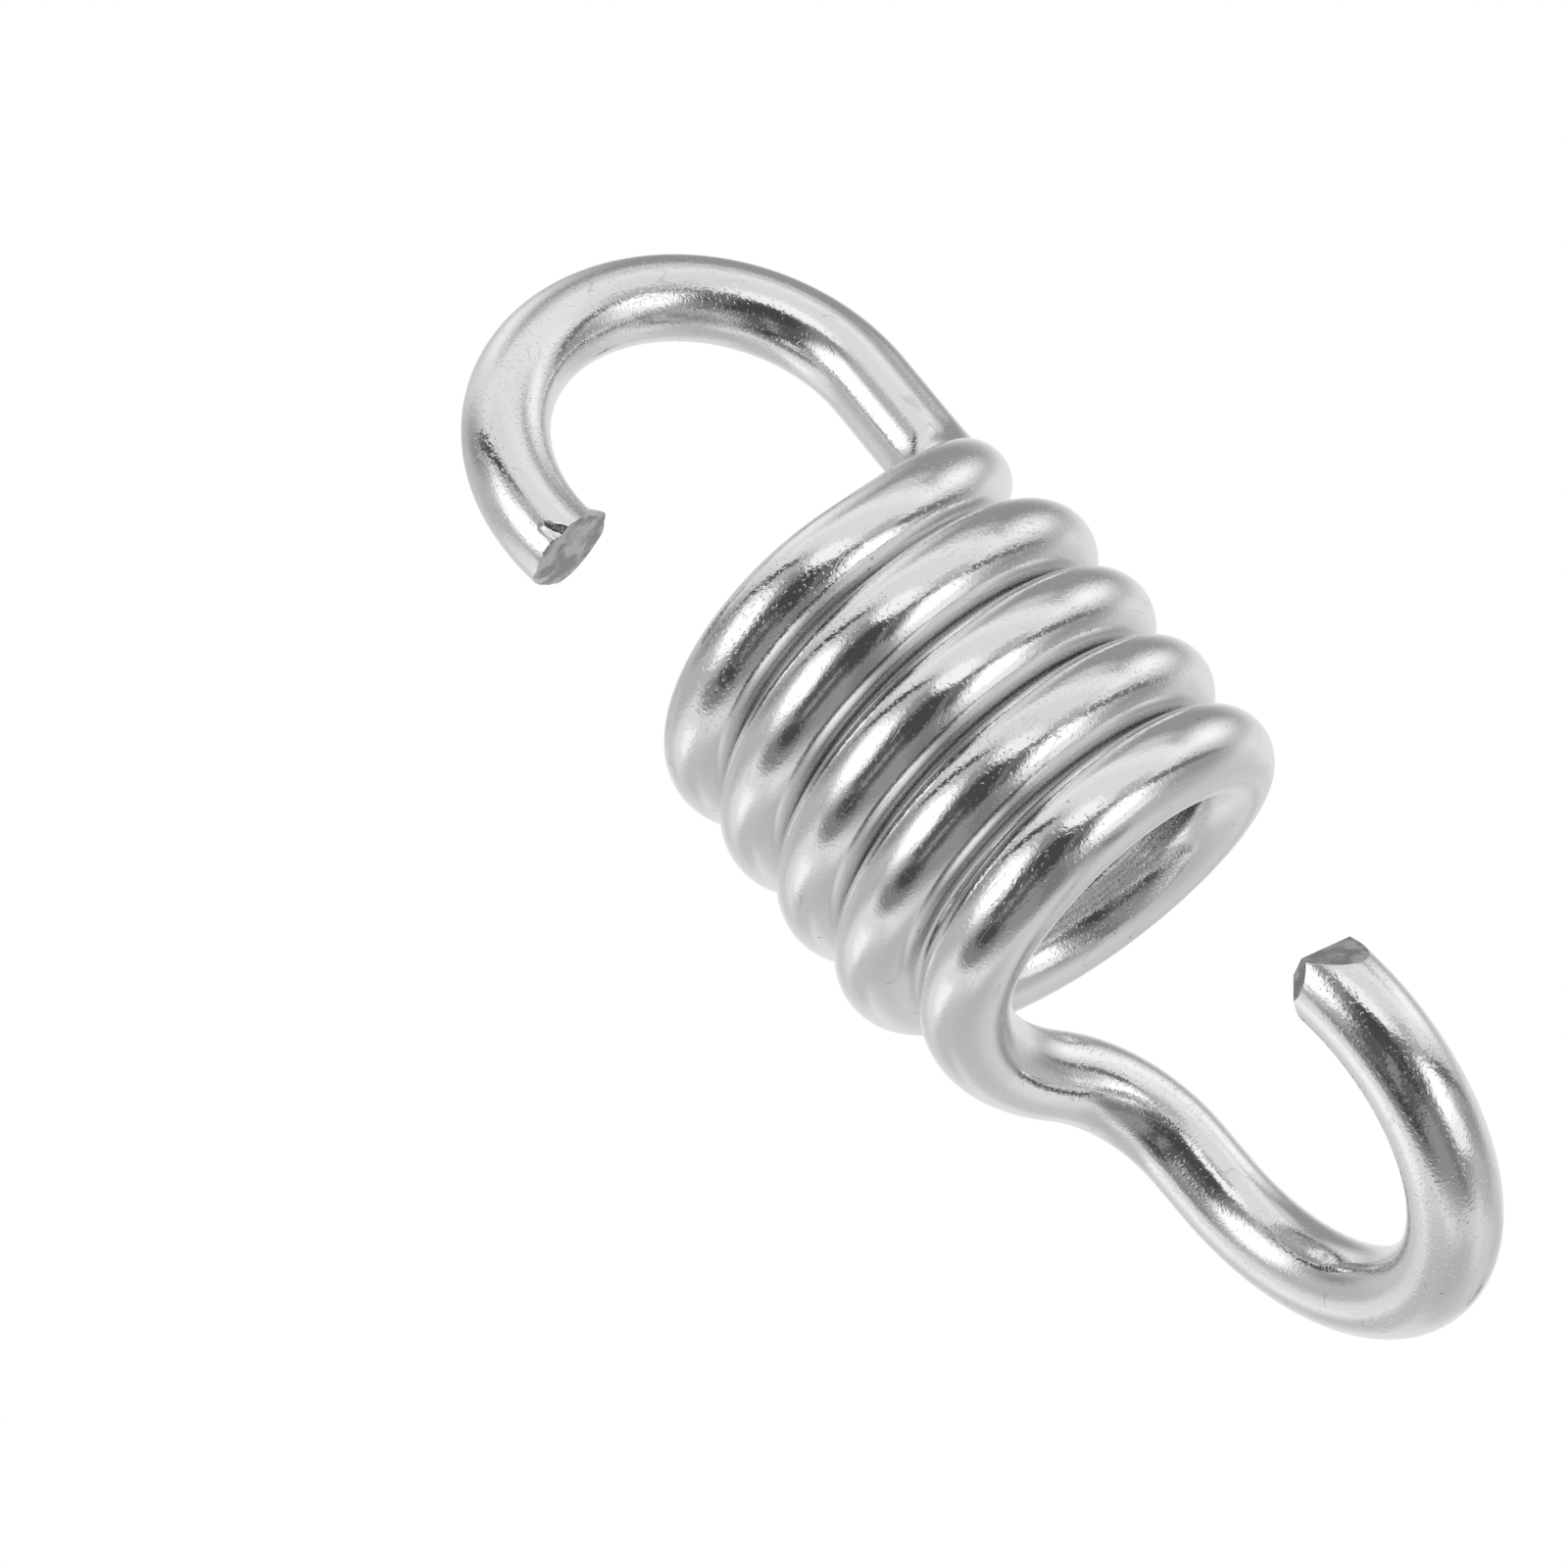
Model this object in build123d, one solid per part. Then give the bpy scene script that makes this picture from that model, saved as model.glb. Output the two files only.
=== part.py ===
"""Extension spring for a hanging chair: one length of round wire, close wound to the right,
with an open hook at each end.

The wire is drawn along a path of one helix and tangent arcs and lines. Each end is laid out
in the same way, in a frame of its own: the lower end is turned half over about X, and the
upper one is turned round with the coil.
Row frame: +Z up along the coil, the origin on the seat of the upper hook, which is the
point inside its eye where a ring bears, and X square to the plane of that hook.
"""
from build123d import *
from dataclasses import dataclass
import os
from math import atan2, cos, degrees, pi, radians, sin, sqrt, tan

# Driving dimensions in millimetres, angles in degrees.
WIRE = 7.0
COIL_OUTER = 37.2
COIL_GAP = 0.18
TURNS = 3.66


@dataclass(frozen=True)
class Shear:
    """A flat face that shearing the wire left on its tip.

    It tilts from square and falls off towards turn, the way round the wire from the hook's
    face. Where it is level with the tip's end it lies start away from the wire's middle.
    """
    tilt: float
    turn: float
    start: float = 0.0


@dataclass(frozen=True)
class HookEnd:
    """One end of the spring, seen with the coil's end on +X and the hook above it.

    lead_* is the last stretch of the coil, which leaves the helix on a radius of its own.
    root_inside and neck_inside are the inside radii of the two bends between coil and hook,
    and neck_run is the distance from the corner of the second one to the hook's arc.
    eye is the hook's inside diameter, and eye_rise the height of its centre over the coil's
    end. plane_turn is the way its plane faces, from +X, and plane_lean its lean from
    upright. arc_from and arc_to bound the hook's arc, from the horizontal on its neck side.
    shears are the flat faces of its tip.
    """
    lead_radius: float
    lead_angle: float
    lead_lift: float
    root_inside: float
    neck_inside: float
    neck_run: float
    eye: float
    eye_rise: float
    eye_off_axis: float
    plane_turn: float
    plane_lean: float
    arc_from: float
    arc_to: float
    shears: tuple[Shear, ...]


UPPER = HookEnd(lead_radius=13.9, lead_angle=110.9, lead_lift=3.2,
                root_inside=11.9, neck_inside=4.6, neck_run=12.7,
                eye=25.0, eye_rise=21.4, eye_off_axis=0.6,
                plane_turn=216.3, plane_lean=2.2, arc_from=-3.1, arc_to=189.4,
                shears=(Shear(tilt=3.0, turn=34.6),
                        Shear(tilt=25.0, turn=124.6, start=2.6)))
LOWER = HookEnd(lead_radius=13.4, lead_angle=80.8, lead_lift=3.9,
                root_inside=11.5, neck_inside=8.8, neck_run=10.3,
                eye=25.3, eye_rise=22.4, eye_off_axis=2.0,
                plane_turn=179.7, plane_lean=4.8, arc_from=-7.9, arc_to=192.4,
                shears=(Shear(tilt=2.0, turn=150.0),
                        Shear(tilt=68.0, turn=106.6, start=2.2),
                        Shear(tilt=43.5, turn=326.6, start=0.6)))

NECK_STRAIGHT = 1.4     # least run from the root bend to the neck's corner
NECK_FILL = 0.9         # most that the neck bend takes up of the run beside its corner
SHEAR_STOCK = 2.0       # wire left beyond the middle of each tip's face before it is sheared

# Sizes that follow from them.
WIRE_RADIUS = WIRE / 2
COIL_RADIUS = (COIL_OUTER - WIRE) / 2
PITCH = WIRE + COIL_GAP
COIL_HEIGHT = TURNS * PITCH
UP = Vector(0, 0, 1)


class WirePath:
    """The wire's centre line, built up edge by edge from a point and a direction."""

    def __init__(self, point, direction):
        self.point = point
        self.direction = direction.normalized()
        self.edges = []

    def line(self, length):
        """Runs straight on."""
        end = self.point + self.direction * length
        self.edges.append(Edge.make_line(self.point, end))
        self.point = end

    def bend(self, radius, angle, towards):
        """Bends through an angle on a radius, towards a side square to the wire."""
        start = self.point
        side = (towards - self.direction * self.direction.dot(towards)).normalized()

        def at(turn):
            return start + self.direction * (radius * sin(turn)) + side * (radius * (1 - cos(turn)))

        turn = radians(angle)
        self.edges.append(Edge.make_three_point_arc(start, at(turn / 2), at(turn)))
        self.point = at(turn)
        self.direction = (self.direction * cos(turn) + side * sin(turn)).normalized()


def coil_tangent():
    """Direction of the wire where the helix ends on +X."""
    rise = PITCH / (2 * pi * COIL_RADIUS)
    return Vector(0, 1, rise).normalized()


def hook_axes(end):
    """The hook's own axes: across its mouth away from the tip, up its middle, and its face."""
    turn = radians(end.plane_turn)
    lean = radians(end.plane_lean)
    across = Vector(cos(turn), sin(turn), 0)
    face = Vector(sin(turn), -cos(turn), 0)
    up = UP * cos(lean) - face * sin(lean)
    return across, up, across.cross(up)


def eye_centre(end):
    """Centre of the hook's eye over the middle of the coil."""
    return Vector(0, -end.eye_off_axis, COIL_HEIGHT / 2 + end.eye_rise)


def hook_point(end, angle):
    """Point of the wire's centre line on the hook's arc, and its direction there."""
    across, up, _ = hook_axes(end)
    turn = radians(angle)
    radius = (end.eye + WIRE) / 2
    point = eye_centre(end) + (across * cos(turn) + up * sin(turn)) * radius
    return point, up * cos(turn) - across * sin(turn)


def root_bend(path, radius, target):
    """Radius and angle of a bend that points the wire straight at a target, and the run to it.

    The bend is tighter than asked where the target is too near for its radius.
    """
    gap = target - path.point
    ahead = gap.dot(path.direction)
    aside = (gap - path.direction * ahead).length
    largest = (gap.length ** 2 - NECK_STRAIGHT ** 2) / (2 * aside)
    radius = min(radius, largest)
    run = sqrt(gap.length ** 2 - 2 * aside * radius)
    angle = degrees(atan2(aside - radius, ahead) + atan2(radius, run))
    return radius, angle, run


def neck_bend(radius, turn, room):
    """Radius of a bend through an angle, and the wire it takes up on each side of its corner.

    The bend is tighter than asked where there is too little room beside its corner.
    """
    share = tan(radians(turn) / 2)
    radius = min(radius, NECK_FILL * room / share)
    return radius, radius * share


def end_path(end):
    """Centre line of one end, from the coil's end to the hook's tip."""
    path = WirePath(Vector(COIL_RADIUS, 0, COIL_HEIGHT / 2), coil_tangent())
    lift = radians(end.lead_lift)
    path.bend(end.lead_radius, end.lead_angle, Vector(-cos(lift), 0, sin(lift)))

    hook_start, hook_direction = hook_point(end, end.arc_from)
    neck_corner = hook_start - hook_direction * end.neck_run
    root_radius, root_angle, run = root_bend(path, end.root_inside + WIRE_RADIUS, neck_corner)
    path.bend(root_radius, root_angle, neck_corner - path.point)

    neck_turn = path.direction.get_angle(hook_direction)
    room = min(run, end.neck_run)
    neck_radius, taken = neck_bend(end.neck_inside + WIRE_RADIUS, neck_turn, room)
    path.line(run - taken)
    path.bend(neck_radius, neck_turn, hook_direction)
    path.line(end.neck_run - taken)

    hook_radius = (end.eye + WIRE) / 2
    sweep_angle = end.arc_to - end.arc_from + degrees(SHEAR_STOCK / hook_radius)
    path.bend(hook_radius, sweep_angle, eye_centre(end) - hook_start)
    return path


def tip_cutters(end):
    """One block for each flat face of the tip, to cut away what lies beyond it."""
    point, direction = hook_point(end, end.arc_to)
    _, _, face = hook_axes(end)
    height = SHEAR_STOCK + WIRE_RADIUS / 2
    block = Box(1.5 * WIRE, 1.5 * WIRE, height, align=(Align.CENTER, Align.CENTER, Align.MIN))
    square = Location(Plane(origin=point, x_dir=face, z_dir=direction))

    return [square * Location((0, 0, 0), (0, 0, shear.turn))
            * Location((shear.start, 0, 0), (0, shear.tilt, 0)) * block for shear in end.shears]


def spring_wire():
    """The whole spring as one solid, in the row frame."""
    helix = Edge.make_helix(PITCH, COIL_HEIGHT, COIL_RADIUS, center=(0, 0, -COIL_HEIGHT / 2))
    round_turn = Location((0, 0, 0), (0, 0, 360 * TURNS))
    half_turn = Location((0, 0, 0), (180, 0, 0))
    upper = end_path(UPPER)
    lower = end_path(LOWER)
    upper_edges = [round_turn * edge for edge in upper.edges]
    lower_edges = [half_turn * edge for edge in lower.edges]
    centre_line = Wire([helix] + upper_edges + lower_edges)

    section = Plane(origin=upper.point, z_dir=upper.direction) * Circle(WIRE_RADIUS)
    wire = sweep(round_turn * section, path=centre_line)
    for cutter in tip_cutters(UPPER):
        wire -= round_turn * cutter
    for cutter in tip_cutters(LOWER):
        wire -= half_turn * cutter

    _, hook_up, _ = hook_axes(UPPER)
    seat = eye_centre(UPPER) + hook_up * (UPPER.eye / 2)
    square_to_x = Location((0, 0, 0), (0, 0, 90 - UPPER.plane_turn))
    return square_to_x * (Location(-seat) * (round_turn.inverse() * wire))


def main():
    os.makedirs("parts", exist_ok=True)
    wire = spring_wire()
    wire.label = "spring_wire"
    export_step(wire, "parts/spring_wire.step")
    return wire


if __name__ == "__main__":
    main()
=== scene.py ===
"""Studio scene of a hanging chair spring made of one length of zinc-plated wire.

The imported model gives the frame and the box. The wire is modelled again with a finer skin: a
ring of points is screwed up into the coil, then spun and drawn out into a hook at each end,
and both ends are cut to their sheared faces. Lengths are in metres and angles in degrees, in
the row frame.
"""

import logging
import math
from dataclasses import dataclass
from enum import Enum

import bmesh
import bpy
from mathutils import Matrix, Vector


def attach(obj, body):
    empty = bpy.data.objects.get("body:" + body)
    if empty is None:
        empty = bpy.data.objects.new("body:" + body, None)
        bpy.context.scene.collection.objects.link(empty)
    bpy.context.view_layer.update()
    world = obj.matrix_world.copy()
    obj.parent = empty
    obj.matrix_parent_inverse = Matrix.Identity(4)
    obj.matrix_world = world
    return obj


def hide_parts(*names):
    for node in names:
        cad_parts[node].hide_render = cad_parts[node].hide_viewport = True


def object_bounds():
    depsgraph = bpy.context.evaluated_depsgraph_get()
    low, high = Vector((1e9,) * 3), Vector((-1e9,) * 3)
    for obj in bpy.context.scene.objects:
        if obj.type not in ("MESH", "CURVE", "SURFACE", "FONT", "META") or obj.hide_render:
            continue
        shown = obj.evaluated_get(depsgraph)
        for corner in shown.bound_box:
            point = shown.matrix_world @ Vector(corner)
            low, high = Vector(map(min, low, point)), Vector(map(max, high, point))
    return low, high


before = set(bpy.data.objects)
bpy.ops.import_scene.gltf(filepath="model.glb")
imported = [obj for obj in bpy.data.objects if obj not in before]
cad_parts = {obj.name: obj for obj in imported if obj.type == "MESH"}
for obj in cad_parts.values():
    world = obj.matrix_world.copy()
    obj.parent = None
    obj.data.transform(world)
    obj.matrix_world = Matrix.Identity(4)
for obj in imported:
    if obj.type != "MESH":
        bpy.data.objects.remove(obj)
CAD_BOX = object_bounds()

MM = 0.001
log = logging.getLogger("spring")


class Axis(Enum):
    """Row axes that a part is turned about."""

    X = "X"
    Z = "Z"


def smooth_step(low: float, high: float, value: float) -> float:
    """Rises from 0 at low to 1 at high with no corner at either end."""
    t = min(max((value - low) / (high - low), 0.0), 1.0)
    return t * t * (3.0 - 2.0 * t)


def turned_to(direction: Vector) -> tuple[float, float, float]:
    """Euler angles that turn +Z to a direction."""
    return tuple(direction.to_track_quat("Z", "Y").to_euler())


def middle_of(points: list[bmesh.types.BMVert]) -> Vector:
    """Middle of some points of a mesh."""
    return sum((point.co for point in points), Vector()) / len(points)


@dataclass(frozen=True)
class Socket:
    """A shader socket that takes part in sums, with the tree it belongs to."""

    tree: bpy.types.NodeTree
    out: bpy.types.NodeSocket

    def _math(self, operation: str, *values: "float | Socket") -> "Socket":
        """Adds a Math node on the given values.

        Args:
            operation: the Math node's operation.
            values: its inputs in order.

        Returns:
            The node's output.
        """
        return add_node(self.tree, "ShaderNodeMath", {"operation": operation}, dict(enumerate(values)))

    def __add__(self, other: "float | Socket") -> "Socket":
        """This plus other."""
        return self._math("ADD", self, other)

    def __radd__(self, other: float) -> "Socket":
        """A number plus this."""
        return self._math("ADD", other, self)

    def __sub__(self, other: "float | Socket") -> "Socket":
        """This less other."""
        return self._math("SUBTRACT", self, other)

    def __rsub__(self, other: float) -> "Socket":
        """A number less this."""
        return self._math("SUBTRACT", other, self)

    def __mul__(self, other: "float | Socket") -> "Socket":
        """This times other."""
        return self._math("MULTIPLY", self, other)

    def __rmul__(self, other: float) -> "Socket":
        """A number times this."""
        return self._math("MULTIPLY", other, self)

    def __truediv__(self, other: "float | Socket") -> "Socket":
        """This over other."""
        return self._math("DIVIDE", self, other)

    def __pow__(self, other: float) -> "Socket":
        """This to a power."""
        return self._math("POWER", self, other)

    def __abs__(self) -> "Socket":
        """This without its sign."""
        return self._math("ABSOLUTE", self)

    def ramp(self, low: float, high: float) -> "Socket":
        """A soft mask: 0 below low and 1 above high, or the other way round if low is larger."""
        settings = {"interpolation_type": "SMOOTHSTEP"}
        if low < high:
            ends = {1: low, 2: high, 3: 0.0, 4: 1.0}
        else:
            ends = {1: high, 2: low, 3: 1.0, 4: 0.0}
        return add_node(self.tree, "ShaderNodeMapRange", settings, {0: self, **ends})

    def dot(self, direction: Vector) -> "Socket":
        """Dot product of this vector with a fixed one."""
        settings = {"operation": "DOT_PRODUCT"}
        return add_node(self.tree, "ShaderNodeVectorMath", settings, {0: self, 1: tuple(direction)}, "Value")


def add_node(tree: bpy.types.NodeTree, kind: str, settings: dict, inputs: dict,
             output: str | int = 0) -> Socket:
    """Adds a node to a tree.

    Args:
        tree: the node tree.
        kind: the node's type name.
        settings: properties set on the node first.
        inputs: values or sockets for its inputs, by name or number.
        output: name or number of the output to return.

    Returns:
        The chosen output as a Socket.
    """
    node = tree.nodes.new(kind)
    for name, value in settings.items():
        setattr(node, name, value)
    for key, value in inputs.items():
        if isinstance(value, Socket):
            tree.links.new(value.out, node.inputs[key])
        else:
            node.inputs[key].default_value = value
    return Socket(tree, node.outputs[output])


def mix_colour(factor: Socket, first: "Socket | tuple", second: "Socket | tuple") -> Socket:
    """Colour that goes from first to second as factor goes from 0 to 1."""
    return add_node(factor.tree, "ShaderNodeMix", {"data_type": "RGBA"}, {0: factor, 6: first, 7: second}, 2)


def grey(level: float) -> tuple[float, float, float, float]:
    """An opaque grey."""
    return (level, level, level, 1.0)


@dataclass(frozen=True)
class ZincPlate:
    """Bright zinc plate on drawn wire, with dull faces where the wire was sheared.

    The patterns follow three attributes of the wire: DRAWN, each point's place on the wire
    laid out straight, SHEARED, which is 1 on the cut faces, and TUCKED, which rises to 1 in
    the creases between the strands. A *_share is how far a mark covers the plate, and a
    *_haze what it adds to the roughness. The grain is least_grain to least_grain + more_grain
    of its height over the plate, loses its tucked_calm share in the creases, and gains
    torn_grain on the cut faces.
    """

    slot: str = "zinc_plated_steel"
    plate: tuple[float, float, float, float] = (0.86, 0.86, 0.855, 1.0)
    cloud: tuple[float, float, float, float] = (0.74, 0.74, 0.735, 1.0)
    speck: tuple[float, float, float, float] = (0.40, 0.40, 0.39, 1.0)
    torn: tuple[float, float, float, float] = (0.76, 0.76, 0.755, 1.0)
    torn_dark: tuple[float, float, float, float] = (0.44, 0.44, 0.435, 1.0)
    gloss: float = 0.03
    cloud_haze: float = 0.05
    pit_haze: float = 0.2
    tucked_haze: float = 0.22
    torn_roughness: float = 0.42
    cloud_size: float = 9.0 * MM
    cloud_share: float = 0.5
    rag_size: float = 0.8 * MM
    grain_size: float = 0.12 * MM
    grain_height: float = 0.014 * MM
    least_grain: float = 0.5
    more_grain: float = 0.8
    tucked_calm: float = 0.9
    torn_grain: float = 1.5
    spark_size: float = 0.13 * MM
    spark_height: float = 0.010 * MM
    ripple_size: float = 1.6 * MM
    ripple_height: float = 0.008 * MM
    line_width: float = 0.16 * MM
    line_length: float = 5.0 * MM
    line_height: float = 0.0012 * MM
    line_share: float = 0.25
    pit_spacing: float = 1.9 * MM
    pit_size: float = 0.09
    pit_patch: float = 4.0 * MM
    pit_share: float = 0.8
    scratch_size: float = 1.5 * MM
    scratch_patch: float = 1.2 * MM
    scratch_share: float = 0.3
    mark_depth: float = 0.004 * MM

    def material(self) -> bpy.types.Material:
        """Builds the material.

        Returns:
            A node material for the whole wire.
        """
        material = bpy.data.materials.new("bright_zinc_plate")
        material.use_nodes = True
        tree = material.node_tree
        tree.nodes.clear()
        drawn = add_node(tree, "ShaderNodeAttribute", {"attribute_name": SpringWire.DRAWN}, {}, "Vector")
        sheared = add_node(tree, "ShaderNodeAttribute", {"attribute_name": SpringWire.SHEARED}, {}, "Fac")
        tucked = add_node(tree, "ShaderNodeAttribute", {"attribute_name": SpringWire.TUCKED}, {}, "Fac")

        patch = self._noise(drawn, self.cloud_size, detail=2.0)
        grain = self._noise(drawn, self.grain_size, detail=1.5)
        ripple = self._noise(drawn, self.ripple_size, detail=2.0)
        rag = self._noise(drawn, self.rag_size, detail=3.0)
        lines = self._lines(drawn)
        pits = self._pits(drawn)
        scratches = self._scratches(drawn)

        clouds = patch.ramp(0.45, 0.75) * self.cloud_share + lines.ramp(0.55, 0.8) * self.line_share
        marks = pits * self.pit_share + scratches * self.scratch_share
        plated = mix_colour(marks, mix_colour(clouds, self.plate, self.cloud), self.speck)
        colour = mix_colour(sheared, plated, mix_colour(rag.ramp(0.40, 0.60), self.torn, self.torn_dark))

        clouded = self.gloss + self.cloud_haze * patch.ramp(0.35, 0.8) * grain.ramp(0.3, 0.7)
        roughness = (clouded + self.pit_haze * pits + tucked * self.tucked_haze
                     + sheared * (self.torn_roughness - self.gloss))

        strewn = self.least_grain + patch.ramp(0.35, 0.65) * self.more_grain
        coarse = strewn * (1.0 - tucked * self.tucked_calm) + sheared * self.torn_grain
        sparks = self._noise(drawn, self.spark_size, detail=0.0).ramp(0.64, 0.78)
        height = (grain * coarse * self.grain_height + ripple * self.ripple_height
                  + sparks * coarse * self.spark_height + lines * self.line_height
                  - pits * self.mark_depth - scratches * self.mark_depth)
        normal = add_node(tree, "ShaderNodeBump", {}, {"Distance": 1.0, "Height": height})

        surface = add_node(tree, "ShaderNodeBsdfPrincipled", {}, {
            "Base Color": colour, "Metallic": 1.0, "Roughness": roughness, "Normal": normal})
        add_node_output(tree, surface)
        return material

    def _noise(self, place: Socket, size: float, detail: float) -> Socket:
        """Noise whose lumps are about a size across, from 0 to 1."""
        return add_node(place.tree, "ShaderNodeTexNoise", {}, {
            "Vector": place, "Scale": 0.5 / size, "Detail": detail}, "Fac")

    def _lines(self, drawn: Socket) -> Socket:
        """Faint lines along the wire, which the drawing die left."""
        stretch = (self.line_width / self.line_length, 1.0, 1.0)
        along = add_node(drawn.tree, "ShaderNodeMapping", {}, {"Vector": drawn, "Scale": stretch})
        return self._noise(along, self.line_width, detail=2.0)

    def _pits(self, drawn: Socket) -> Socket:
        """Small dark pits in the plate, scattered unevenly."""
        spots = add_node(drawn.tree, "ShaderNodeTexVoronoi", {}, {
            "Vector": drawn, "Scale": 1.0 / self.pit_spacing}, "Distance")
        kept = self._noise(drawn, self.pit_patch, detail=1.0)
        return spots.ramp(self.pit_size, 0.3 * self.pit_size) * kept.ramp(0.48, 0.58)

    def _scratches(self, drawn: Socket) -> Socket:
        """Short curved handling scratches, a hair wide."""
        slanted = add_node(drawn.tree, "ShaderNodeMapping", {}, {
            "Vector": drawn, "Rotation": (0.3, 0.5, 0.2), "Scale": (0.25, 1.0, 1.0)})
        field = self._noise(slanted, self.scratch_size, detail=1.0)
        hair = abs(field - 0.5).ramp(0.006, 0.002)
        kept = self._noise(drawn, self.scratch_patch, detail=0.0)
        return hair * kept.ramp(0.55, 0.62)


def add_node_output(tree: bpy.types.NodeTree, surface: Socket) -> None:
    """Joins a shader to a new material output."""
    output = tree.nodes.new("ShaderNodeOutputMaterial")
    tree.links.new(surface.out, output.inputs["Surface"])


@dataclass(frozen=True)
class Shear:
    """A flat face that shearing the wire left on its tip.

    It tilts from square and falls off towards turn, the way round the wire from the hook's
    face. Where it is level with the tip's end it lies start away from the wire's middle.
    """

    tilt: float
    turn: float
    start: float = 0.0

    def plane(self, point: Vector, along: Vector, face: Vector) -> tuple[Vector, Vector]:
        """The plane of the cut.

        Args:
            point: middle of the tip's end.
            along: the wire's direction there.
            face: direction of the hook's face.

        Returns:
            A point on the plane, and its normal away from the wire.
        """
        turn = math.radians(self.turn)
        tilt = math.radians(self.tilt)
        way = face * math.cos(turn) + along.cross(face) * math.sin(turn)
        return point + way * self.start, along * math.cos(tilt) + way * math.sin(tilt)


@dataclass(frozen=True)
class Dent:
    """A spot on a tip that the shears pushed out of place, or in where push is below nothing.

    turn is its way round the wire from the hook's face and back its distance from the tip's
    end. What lies within reach of it goes along.
    """

    turn: float
    back: float
    push: float
    reach: float

    def move(self, point: Vector, along: Vector, face: Vector, radius: float) -> tuple[Vector, Vector]:
        """Where the dent lies and how it moves.

        Args:
            point: middle of the tip's end.
            along: the wire's direction there.
            face: direction of the hook's face.
            radius: the wire's radius.

        Returns:
            The dent's spot on the wire, and the way that spot goes.
        """
        turn = math.radians(self.turn)
        way = face * math.cos(turn) + along.cross(face) * math.sin(turn)
        return point + way * radius - along * self.back, way * self.push


@dataclass(frozen=True)
class HookEnd:
    """Sizes of one end of the spring, seen with the coil's end on +X and the hook above it.

    lead_* is the last stretch of the coil, on a radius of its own. root_radius and neck_radius
    are the two bends between coil and hook, on the wire's centre line, and neck_run is the
    distance from the corner of the second to the hook's arc. eye is the hook's inside diameter
    and eye_rise the height of its centre over the coil's end. plane_turn is the way its plane
    faces, from +X, and plane_lean its lean from upright. arc_from and arc_to bound the hook's
    arc, from the horizontal on its neck side. shears and dents shape its tip.
    """

    name: str
    lead_radius: float
    lead_angle: float
    lead_lift: float
    root_radius: float
    neck_radius: float
    neck_run: float
    eye: float
    eye_rise: float
    eye_off_axis: float
    plane_turn: float
    plane_lean: float
    arc_from: float
    arc_to: float
    shears: tuple[Shear, ...]
    dents: tuple[Dent, ...] = ()

    def axes(self) -> tuple[Vector, Vector, Vector]:
        """The hook's own axes: across its mouth away from the tip, up its middle, its face."""
        turn = math.radians(self.plane_turn)
        lean = math.radians(self.plane_lean)
        across = Vector((math.cos(turn), math.sin(turn), 0.0))
        face = Vector((math.sin(turn), -math.cos(turn), 0.0))
        up = Vector((0.0, 0.0, math.cos(lean))) - face * math.sin(lean)
        return across, up, across.cross(up)


class WireDrawer:
    """Draws the wire's skin on from its open end, by spinning and moving the end ring."""

    def __init__(self, skin: bpy.types.Object, place: Matrix, point: Vector, direction: Vector,
                 step: float) -> None:
        """Takes up the wire at one end ring.

        Args:
            skin: the mesh object, in edit mode.
            place: turns the sketch of this end into the object's frame.
            point: middle of the end ring in the sketch.
            direction: the wire's direction there, out of the ring.
            step: length of one segment.
        """
        self.skin = skin
        self.place = place
        self.point = point
        self.direction = direction.normalized()
        self.step = step

    def bend(self, radius: float, angle: float, towards: Vector) -> None:
        """Bends the wire on a radius through an angle, towards a side."""
        side = (towards - self.direction * self.direction.dot(towards)).normalized()
        centre = self.point + side * radius
        axis = self.direction.cross(side)
        turn = math.radians(angle)
        steps = max(2, round(radius * turn / self.step))
        bpy.ops.mesh.spin(steps=steps, angle=-turn, center=self.place @ centre,
                          axis=self.place.to_3x3() @ axis, use_auto_merge=False)
        self.point = centre + Matrix.Rotation(turn, 3, axis) @ (self.point - centre)
        self.direction = (Matrix.Rotation(turn, 3, axis) @ self.direction).normalized()

    def straight(self, length: float) -> None:
        """Draws the wire straight on."""
        steps = max(1, round(length / self.step))
        move = self.place.to_3x3() @ self.direction * (length / steps)
        for _ in range(steps):
            bpy.ops.mesh.extrude_region_move(TRANSFORM_OT_translate={"value": tuple(move)})
        self.point = self.point + self.direction * length


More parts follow.
